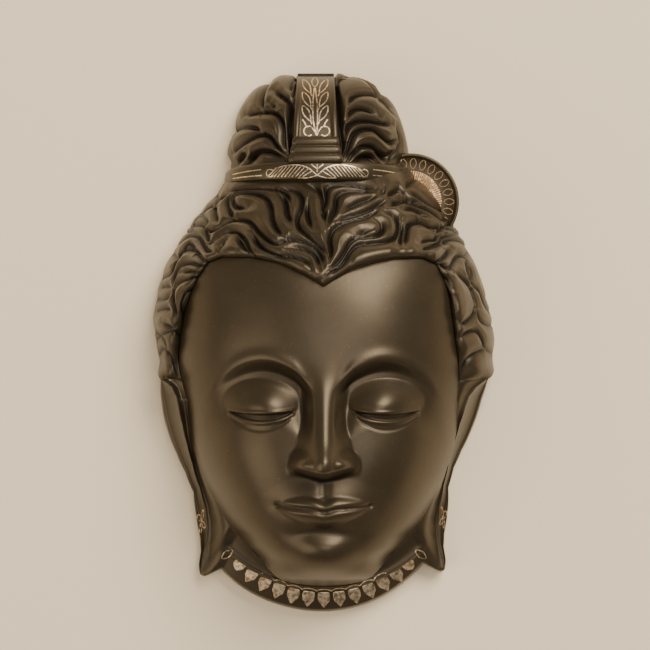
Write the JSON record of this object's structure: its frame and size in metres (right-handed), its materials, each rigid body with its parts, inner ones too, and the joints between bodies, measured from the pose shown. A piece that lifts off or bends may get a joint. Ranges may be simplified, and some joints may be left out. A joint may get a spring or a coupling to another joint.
{
  "type": "bidriware buddha head",
  "caption": "Half-round hollow Buddha head in blackened zinc alloy with silver inlay, made to lie on its open back or hang on a wall.",
  "frame": {"origin": "under the middle of the outline, on the back plane that the head lies on", "axes": "+Z out of the back towards the viewer's side of the face, +Y from the chin up to the topknot, +X to the viewer's right"},
  "size_m": [0.1255, 0.2, 0.069],
  "materials": {
    "blackened_zinc_alloy": "cast zinc-copper alloy, smoothed, blackened and oiled to a satin shine",
    "silver_sheet": "silver sheet and wire let in flush and burnished"
  },
  "bodies": {
    "root": {"casting": "blackened_zinc_alloy", "collar_petal_01": "silver_sheet", "collar_petal_02": "silver_sheet", "collar_petal_03": "silver_sheet", "collar_petal_04": "silver_sheet", "collar_petal_05": "silver_sheet", "collar_petal_06": "silver_sheet", "collar_petal_07": "silver_sheet", "collar_petal_08": "silver_sheet", "collar_petal_09": "silver_sheet", "collar_petal_10": "silver_sheet", "collar_petal_11": "silver_sheet", "collar_petal_12": "silver_sheet", "collar_petal_13": "silver_sheet"}
  },
  "joints": []
}
